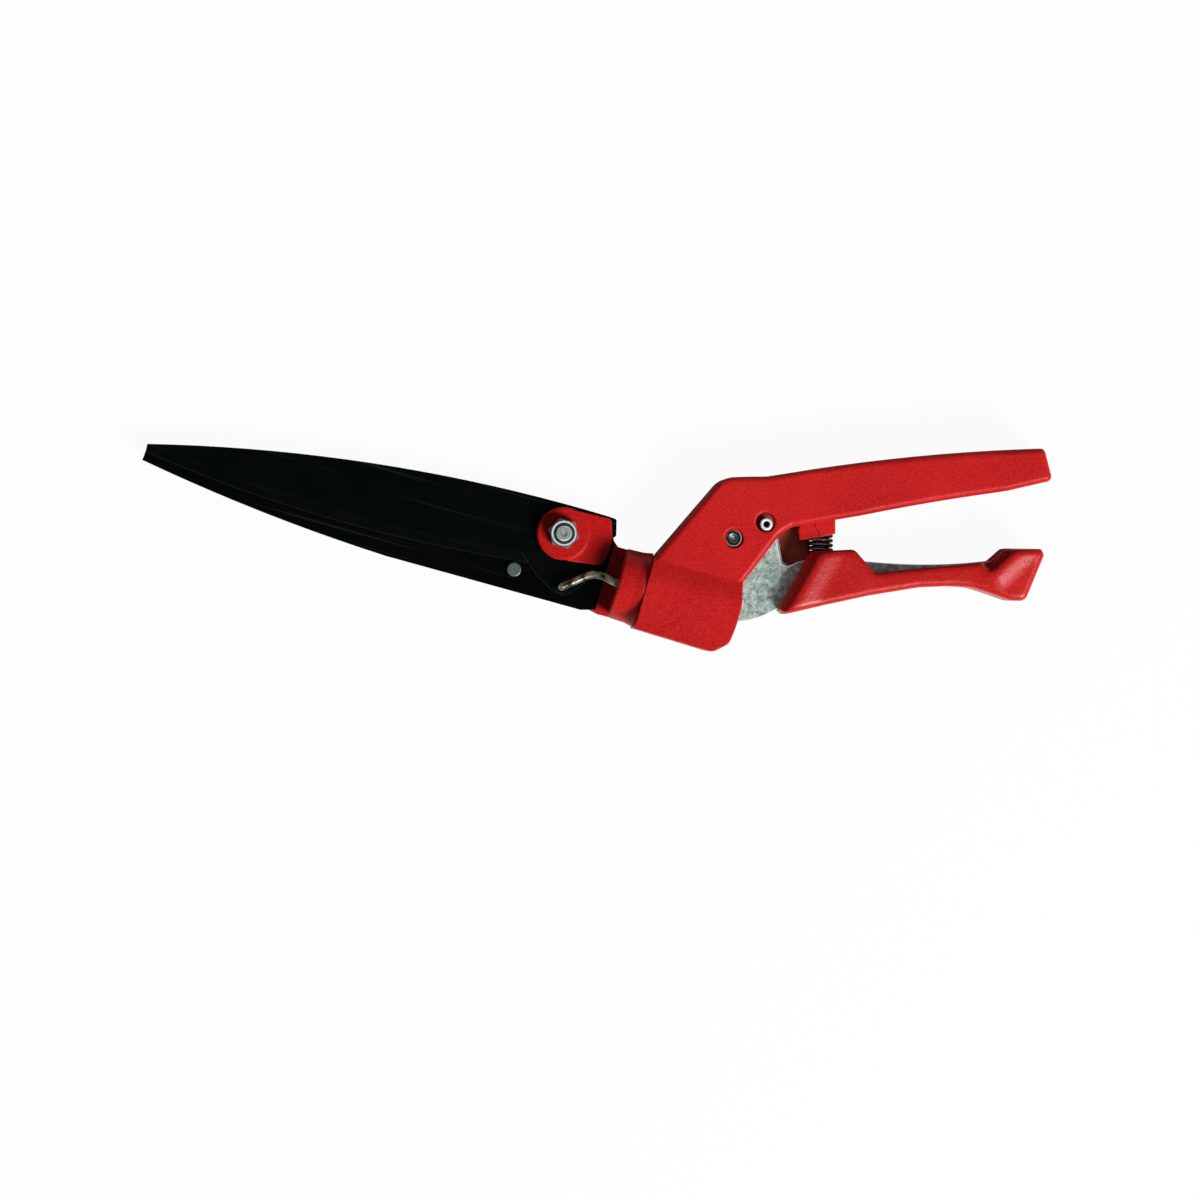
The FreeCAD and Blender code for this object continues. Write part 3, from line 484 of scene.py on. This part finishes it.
# ------------------------------------------------------------------ catch plate
CATCH_WIDER = 2.2 * MM
CATCH_HIGHER = 1.6 * MM
catch = copy_of("lock_catch", "catch_plate", catch_steel)
for point in catch.data.vertices:
    if point.co.x > 31 * MM and point.co.y < 33 * MM:  # lower right corners
        point.co.x += CATCH_WIDER
    elif point.co.x > 36 * MM and point.co.y > 37 * MM:  # upper right corner
        point.co.y += CATCH_HIGHER
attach(catch, "catch")
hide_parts("lock_catch")


# ------------------------------------------------------------------ return spring
def tube(name, path, radius, sides=14):
    """A round wire along a list of points, closed at both ends."""
    points = []
    faces = []
    side = Vector((0, 0, 1))
    for step, here in enumerate(path):
        before = path[max(0, step - 1)]
        after = path[min(len(path) - 1, step + 1)]
        along = (after - before).normalized()
        side = (side - along * side.dot(along)).normalized()
        across = along.cross(side)
        for turn in range(sides):
            angle = 2 * math.pi * turn / sides
            points.append(here + (side * math.cos(angle) + across * math.sin(angle)) * radius)
    for step in range(len(path) - 1):
        for turn in range(sides):
            nxt = (turn + 1) % sides
            faces.append((step * sides + turn, step * sides + nxt,
                          (step + 1) * sides + nxt, (step + 1) * sides + turn))
    faces.append(tuple(reversed(range(sides))))
    faces.append(tuple((len(path) - 1) * sides + turn for turn in range(sides)))
    return meshed(name, points, faces)


SPRING_FOOT = Vector((43.6, 27.4, 14.5)) * MM
SPRING_LEAN = math.radians(16.5)
SPRING_LONG = 14.0 * MM
SPRING_TURNS = 8.0
CLOSED_TURNS = 0.75  # at each end, where the wire lies on itself
WIRE = 0.65 * MM
COIL = 4.2 * MM
STEPS = 260
up = Vector((-math.sin(SPRING_LEAN), math.cos(SPRING_LEAN), 0))
right = Vector((math.cos(SPRING_LEAN), math.sin(SPRING_LEAN), 0))
route = []
for step in range(STEPS + 1):
    turns = SPRING_TURNS * step / STEPS
    angle = 2 * math.pi * turns
    lift = min(1.0, max(0.0, (turns - CLOSED_TURNS) / (SPRING_TURNS - 2 * CLOSED_TURNS)))
    rise = WIRE + (SPRING_LONG - 4 * WIRE) * lift
    rise += WIRE * min(1.0, turns / CLOSED_TURNS)
    rise += WIRE * max(0.0, (turns - SPRING_TURNS + CLOSED_TURNS) / CLOSED_TURNS)
    round_it = (right * math.cos(angle) + Vector((0, 0, 1)) * math.sin(angle)) * COIL
    route.append(SPRING_FOOT + up * rise + round_it)
spring = tube("return_coil", route, WIRE)
spring.data.materials.append(spring_steel)
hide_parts("return_spring")
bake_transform(spring)

# ------------------------------------------------------------------ floor and background
FLOOR_REACH = 4.0
FLOOR_DROP = 0.05 * MM
FLOOR_GREY = 0.80
FLOOR_GLOW = 0.955  # how much of what the camera sees is plain white; the rest keeps the shadow
MIRRORED = 0.35     # how much of the background's white glossy rays see
FILL = 0.06

square = [(-FLOOR_REACH, -FLOOR_REACH), (FLOOR_REACH, -FLOOR_REACH),
          (FLOOR_REACH, FLOOR_REACH), (-FLOOR_REACH, FLOOR_REACH)]
floor_mesh = bpy.data.meshes.new("floor")
floor_mesh.from_pydata([(x, y, -FLOOR_DROP) for x, y in square], [], [(0, 1, 2, 3)])
floor = bpy.data.objects.new("floor", floor_mesh)
bpy.context.scene.collection.objects.link(floor)
pale = bpy.data.materials.new("pale_floor")
pale.use_nodes = True
tree = pale.node_tree
base = tree.nodes["Principled BSDF"]
base.inputs["Base Color"].default_value = (FLOOR_GREY, FLOOR_GREY, FLOOR_GREY, 1)
base.inputs["Roughness"].default_value = 0.9
glow = tree.nodes.new("ShaderNodeEmission")
glow.inputs["Color"].default_value = (1, 1, 1, 1)
rays = tree.nodes.new("ShaderNodeLightPath")
seen_share = tree.nodes.new("ShaderNodeMath")
seen_share.operation = "MULTIPLY"
seen_share.inputs[1].default_value = FLOOR_GLOW
join = tree.nodes.new("ShaderNodeMixShader")
tree.links.new(rays.outputs["Is Camera Ray"], seen_share.inputs[0])
tree.links.new(seen_share.outputs["Value"], join.inputs["Fac"])
tree.links.new(base.outputs["BSDF"], join.inputs[1])
tree.links.new(glow.outputs["Emission"], join.inputs[2])
tree.links.new(join.outputs["Shader"], tree.nodes["Material Output"].inputs["Surface"])
floor_mesh.materials.append(pale)

world = bpy.data.worlds.new("studio")
world.use_nodes = True
bpy.context.scene.world = world
tree = world.node_tree
back = tree.nodes["Background"]
back.inputs["Color"].default_value = (1, 1, 1, 1)
rays = tree.nodes.new("ShaderNodeLightPath")
mirrored = tree.nodes.new("ShaderNodeMath")
mirrored.operation = "MULTIPLY_ADD"
mirrored.inputs[1].default_value = MIRRORED
either = tree.nodes.new("ShaderNodeMath")
either.operation = "MAXIMUM"
strength = tree.nodes.new("ShaderNodeMapRange")
strength.inputs["To Min"].default_value = FILL
strength.inputs["To Max"].default_value = 1.0
tree.links.new(rays.outputs["Is Glossy Ray"], mirrored.inputs[0])
tree.links.new(rays.outputs["Is Transmission Ray"], mirrored.inputs[2])
tree.links.new(rays.outputs["Is Camera Ray"], either.inputs[0])
tree.links.new(mirrored.outputs["Value"], either.inputs[1])
tree.links.new(either.outputs["Value"], strength.inputs["Value"])
tree.links.new(strength.outputs["Result"], back.inputs["Strength"])

# ------------------------------------------------------------------ lamp and camera
ROLL = math.radians(16)
IMAGE_RIGHT = Vector((math.cos(ROLL), math.sin(ROLL), 0))
IMAGE_UP = Vector((-math.sin(ROLL), math.cos(ROLL), 0))
LAMP_ASIDE = 0.835
LAMP_HEIGHT = 1.22

lamp_data = bpy.data.lights.new("key", "AREA")
lamp_data.shape = "DISK"
lamp_data.size = 0.7
lamp_data.energy = 35.0
lamp = bpy.data.objects.new("key", lamp_data)
bpy.context.scene.collection.objects.link(lamp)
lamp.location = (IMAGE_RIGHT - IMAGE_UP) * LAMP_ASIDE + Vector((0, 0, LAMP_HEIGHT))
lamp.rotation_euler = lamp.location.to_track_quat("Z", "Y").to_euler()

TARGET = Vector((-31.45, -7.87, 16.0)) * MM
FRAME_WIDTH = 444 * MM
DISTANCE = 2.0
toward = (Vector((0, 0, 1)) - IMAGE_RIGHT * 0.05).normalized()
camera_data = bpy.data.cameras.new("camera")
camera_data.sensor_width = 36
camera_data.lens = camera_data.sensor_width * DISTANCE / FRAME_WIDTH
camera = bpy.data.objects.new("camera", camera_data)
bpy.context.scene.collection.objects.link(camera)
side = IMAGE_UP.cross(toward).normalized()
camera.matrix_world = Matrix.Translation(TARGET + toward * DISTANCE) @ Matrix(
    (side, toward.cross(side), toward)).transposed().to_4x4()
bpy.context.scene.camera = camera
bpy.context.scene.view_settings.view_transform = "Standard"
